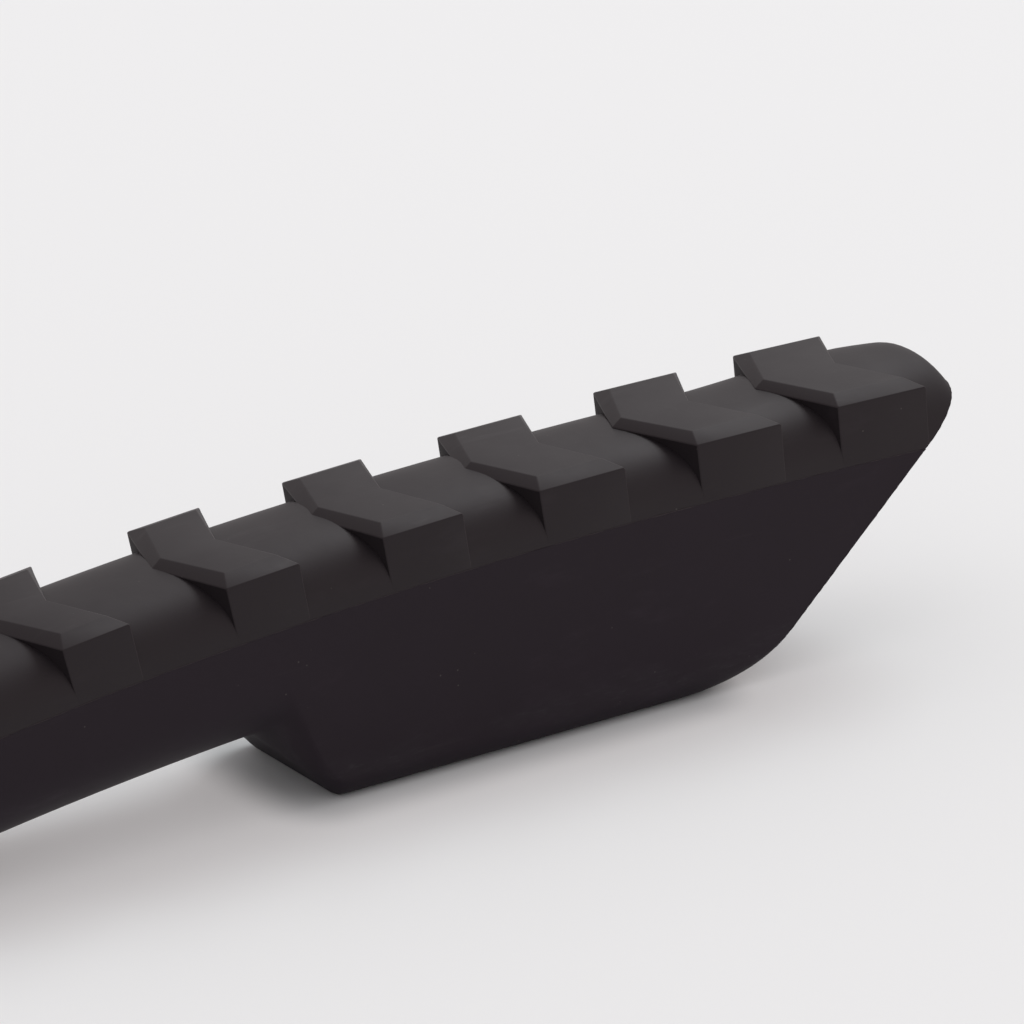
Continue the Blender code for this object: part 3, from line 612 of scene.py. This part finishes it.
# ---------------------------------------------------------------- stage and light
# The board lies under the heel only and ends before the handle dips below its plane.
BOARD_WIDE, BOARD_WIDER = 0.165, 0.05    # width at its near end, growth to its far end
BOARD_LONG, BOARD_NEAR = 0.62, 0.18      # length, and how much of it is before the heel
BOARD_SIDE, BOARD_DROP = 0.002, 1e-5     # shift to the right, and down
level = Vector((look.x, look.y, 0)).normalized()
across = Vector((level.y, -level.x, 0))
bm = bmesh.new()
bmesh.ops.create_grid(bm, x_segments=1, y_segments=1, size=0.5)
for v in bm.verts:
    far = v.co.y + 0.5
    v.co = (across * (v.co.x * (BOARD_WIDE + BOARD_WIDER * far) + BOARD_SIDE)
            + level * (far * BOARD_LONG - BOARD_NEAR) - Vector((0, 0, BOARD_DROP)))
me = bpy.data.meshes.new("board")
bm.to_mesh(me)
bm.free()
board = bpy.data.objects.new("board", me)
bpy.context.scene.collection.objects.link(board)
# The board glows a little, though it is no lamp: painted light that lifts the shadows on it.
paper = Finish("pale_board", 0.9, Emission_Strength=0.21)
FOOT_FLAT = ((HEEL_FRONT[1] - FOOT_X) * HALF, (HEEL_REAR - FOOT_X) * HALF,
             (1.0 - HEEL_EDGE) * HALF)


def beyond(value, half):
    """How far value lies outside plus or minus half."""
    return value.math("ABSOLUTE", 0.0).math("SUBTRACT", half).math("MAXIMUM", 0.0)


fore, aft, wide = FOOT_FLAT
near_x = beyond(paper.node("ShaderNodeSeparateXYZ", {}, (paper.place,), "X") - (fore + aft) / 2,
                (aft - fore) / 2)
near_y = beyond(paper.node("ShaderNodeSeparateXYZ", {}, (paper.place,), "Y"), wide)
# The board's glow fades out round the heel's foot: a painted contact shadow.
away = (near_x * near_x + near_y * near_y).math("SQRT", 0.0)
fill = paper.mix(paper.ramp(away, 0.002, 0.012), (0.0, 0.0, 0.0), (1.0, 0.94, 0.93))
paper.put(paper.shader.inputs["Emission Color"], fill)
paper.colour((0.598, 0.620, 0.628))
me.materials.append(paper.material)

AMBIENT, BACKDROP = 0.84, 0.85   # strength of the light, and of what stands behind
world = bpy.data.worlds.new("studio")
bpy.context.scene.world = world
world.use_nodes = True
sky = world.node_tree.nodes["Background"]
seen = world.node_tree.nodes.new("ShaderNodeLightPath")
level_of = world.node_tree.nodes.new("ShaderNodeMapRange")
level_of.inputs["To Min"].default_value = AMBIENT
level_of.inputs["To Max"].default_value = BACKDROP
tint = world.node_tree.nodes.new("ShaderNodeMix")
tint.data_type = "RGBA"
for socket, colour in ((6, (1.0, 0.945, 0.945, 1.0)), (7, (1.0, 1.0, 1.0, 1.0))):
    tint.inputs[socket].default_value = colour
world.node_tree.links.new(seen.outputs["Is Camera Ray"], tint.inputs["Factor"])
world.node_tree.links.new(tint.outputs[2], sky.inputs["Color"])
world.node_tree.links.new(seen.outputs["Is Camera Ray"], level_of.inputs["Value"])
world.node_tree.links.new(level_of.outputs["Result"], sky.inputs["Strength"])
bpy.context.scene.view_settings.view_transform = "Standard"


def softbox(name, place, target, size, power, colour):
    data = bpy.data.lights.new(name, "AREA")
    data.shape = "RECTANGLE"
    data.size, data.size_y = size
    data.energy = power
    data.color = colour
    lamp = bpy.data.objects.new(name, data)
    bpy.context.scene.collection.objects.link(lamp)
    lamp.location = place
    aim = Vector(place) - Vector(target)
    lamp.rotation_euler = aim.to_track_quat("Z", "Y").to_euler()


softbox("back_softbox", (2.10, 1.25, 2.88), (0, 0, 0), (1.8, 1.5), 42.0, (0.93, 1.0, 1.01))
